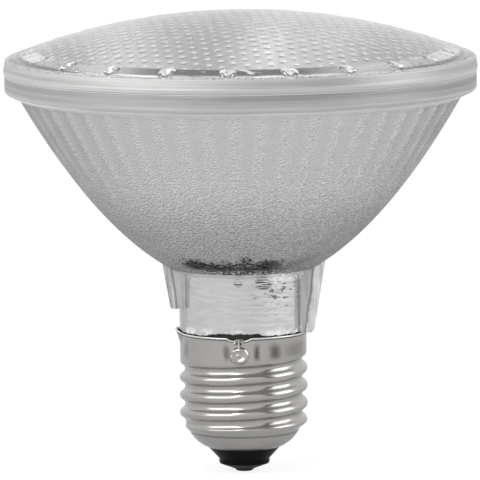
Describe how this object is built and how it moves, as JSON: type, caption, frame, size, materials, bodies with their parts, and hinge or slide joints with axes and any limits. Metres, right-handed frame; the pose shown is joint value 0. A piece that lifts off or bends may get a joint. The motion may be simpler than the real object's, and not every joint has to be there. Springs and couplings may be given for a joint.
{
  "type": "par spotlight bulb",
  "caption": "Reflector spotlight bulb: patterned glass lens sealed on a fluted, aluminised glass bowl with a halogen capsule inside, on a nickel-plated screw cap with a black insulator.",
  "frame": {"origin": "tip of the centre contact, on the lamp's axis, at the lowest point", "axes": "+Z along the lamp's axis from the cap to the lens; -Y towards the viewer of the picture; +X to the viewer's right, through the longer lug of the neck"},
  "size_m": [0.097, 0.097, 0.0947],
  "materials": {
    "lens_glass": "polished",
    "seal": "matte",
    "aluminised_glass": "satin",
    "shell_metal": "polished",
    "cement": "matte",
    "solder": "satin",
    "insulator_glass": "gloss",
    "contact_metal": "satin",
    "quartz": "polished",
    "tungsten": "satin",
    "wire_metal": "satin"
  },
  "bodies": {
    "root": {"lens": "lens_glass", "lens_seal": "seal", "reflector": "aluminised_glass", "base_shell": "shell_metal", "base_cement": "cement", "side_solder": "solder", "insulator": "insulator_glass", "centre_contact": "contact_metal", "contact_solder": "solder", "capsule_bulb": "quartz", "filament": "tungsten", "filament_lead_short": "tungsten", "filament_lead_tall": "tungsten", "foil_live": "tungsten", "foil_return": "tungsten", "pin_live": "wire_metal", "pin_return": "wire_metal", "ferrule_live": "wire_metal", "ferrule_return": "wire_metal", "live_wire": "wire_metal", "return_wire": "wire_metal"}
  },
  "joints": []
}
